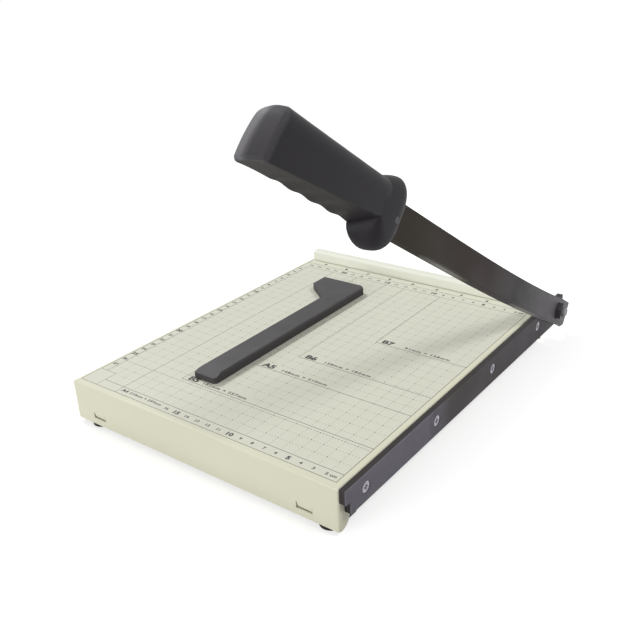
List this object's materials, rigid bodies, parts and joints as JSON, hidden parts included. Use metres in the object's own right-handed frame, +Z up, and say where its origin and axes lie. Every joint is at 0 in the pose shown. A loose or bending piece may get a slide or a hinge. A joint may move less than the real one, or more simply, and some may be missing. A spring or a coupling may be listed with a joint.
{
  "type": "guillotine paper cutter",
  "caption": "Desk paper cutter: a cream sheet-metal bed with fence and size guides, a curved blade arm on a sprung pivot with a black handle, and a loose stop gauge.",
  "frame": {"origin": "middle of the rest pose's footprint, on the table that the feet stand on", "axes": "+X towards the blade side, +Y from the person who cuts towards the fence, +Z up"},
  "size_m": [0.2716, 0.4296, 0.2677],
  "materials": {
    "cream_paint": "satin baked enamel",
    "blackened_bar": "satin black, bare on the cutting edge",
    "blackened_steel": "satin black coating on ground steel",
    "black_plastic": "fine moulded grain",
    "grey_plastic": "moulded, matt",
    "bright_zinc": "zinc plated",
    "dark_zinc": "dark plated",
    "spring_steel": "drawn wire",
    "foot_rubber": "matt",
    "magnet_nickel": "nickel plated"
  },
  "bodies": {
    "base": {"base_pan": "cream_paint", "fence_rail": "cream_paint", "fence_screw_left": "bright_zinc", "fence_screw_middle": "bright_zinc", "fence_screw_right": "bright_zinc", "front_foot_rail": "dark_zinc", "rear_foot_rail": "dark_zinc", "foot_front_left": "foot_rubber", "foot_front_right": "foot_rubber", "foot_rear_left": "foot_rubber", "foot_rear_right": "foot_rubber", "foot_screw_front_left": "bright_zinc", "foot_screw_front_right": "bright_zinc", "foot_screw_rear_left": "bright_zinc", "foot_screw_rear_right": "bright_zinc", "fixed_blade": "blackened_bar", "blade_screw_1": "bright_zinc", "blade_screw_2": "bright_zinc", "blade_screw_3": "bright_zinc", "blade_screw_4": "bright_zinc", "blade_nut_1": "bright_zinc", "blade_nut_2": "bright_zinc", "blade_nut_3": "bright_zinc", "blade_nut_4": "bright_zinc", "pivot_bolt": "bright_zinc", "pivot_spring": "spring_steel", "spring_washer": "bright_zinc", "pivot_nut": "dark_zinc"},
    "arm": {"cutting_arm": "blackened_steel", "handle": "black_plastic", "tang_screw_1": "bright_zinc", "tang_screw_2": "bright_zinc"},
    "gauge": {"stop_gauge": "grey_plastic", "gauge_magnet_1": "magnet_nickel", "gauge_magnet_2": "magnet_nickel", "gauge_magnet_3": "magnet_nickel"}
  },
  "joints": [
    {"name": "arm_hinge", "type": "hinge", "parent": "base", "child": "arm", "pos_m": [0.1188, 0.18729, 0.0279], "axis": [-1, 0, 0], "range_deg": [-27.5, 55]},
    {"name": "gauge_slide", "type": "slide", "parent": "base", "child": "gauge", "axis": [1, 0, 0], "range_m": [-0.045, 0.145]}
  ]
}
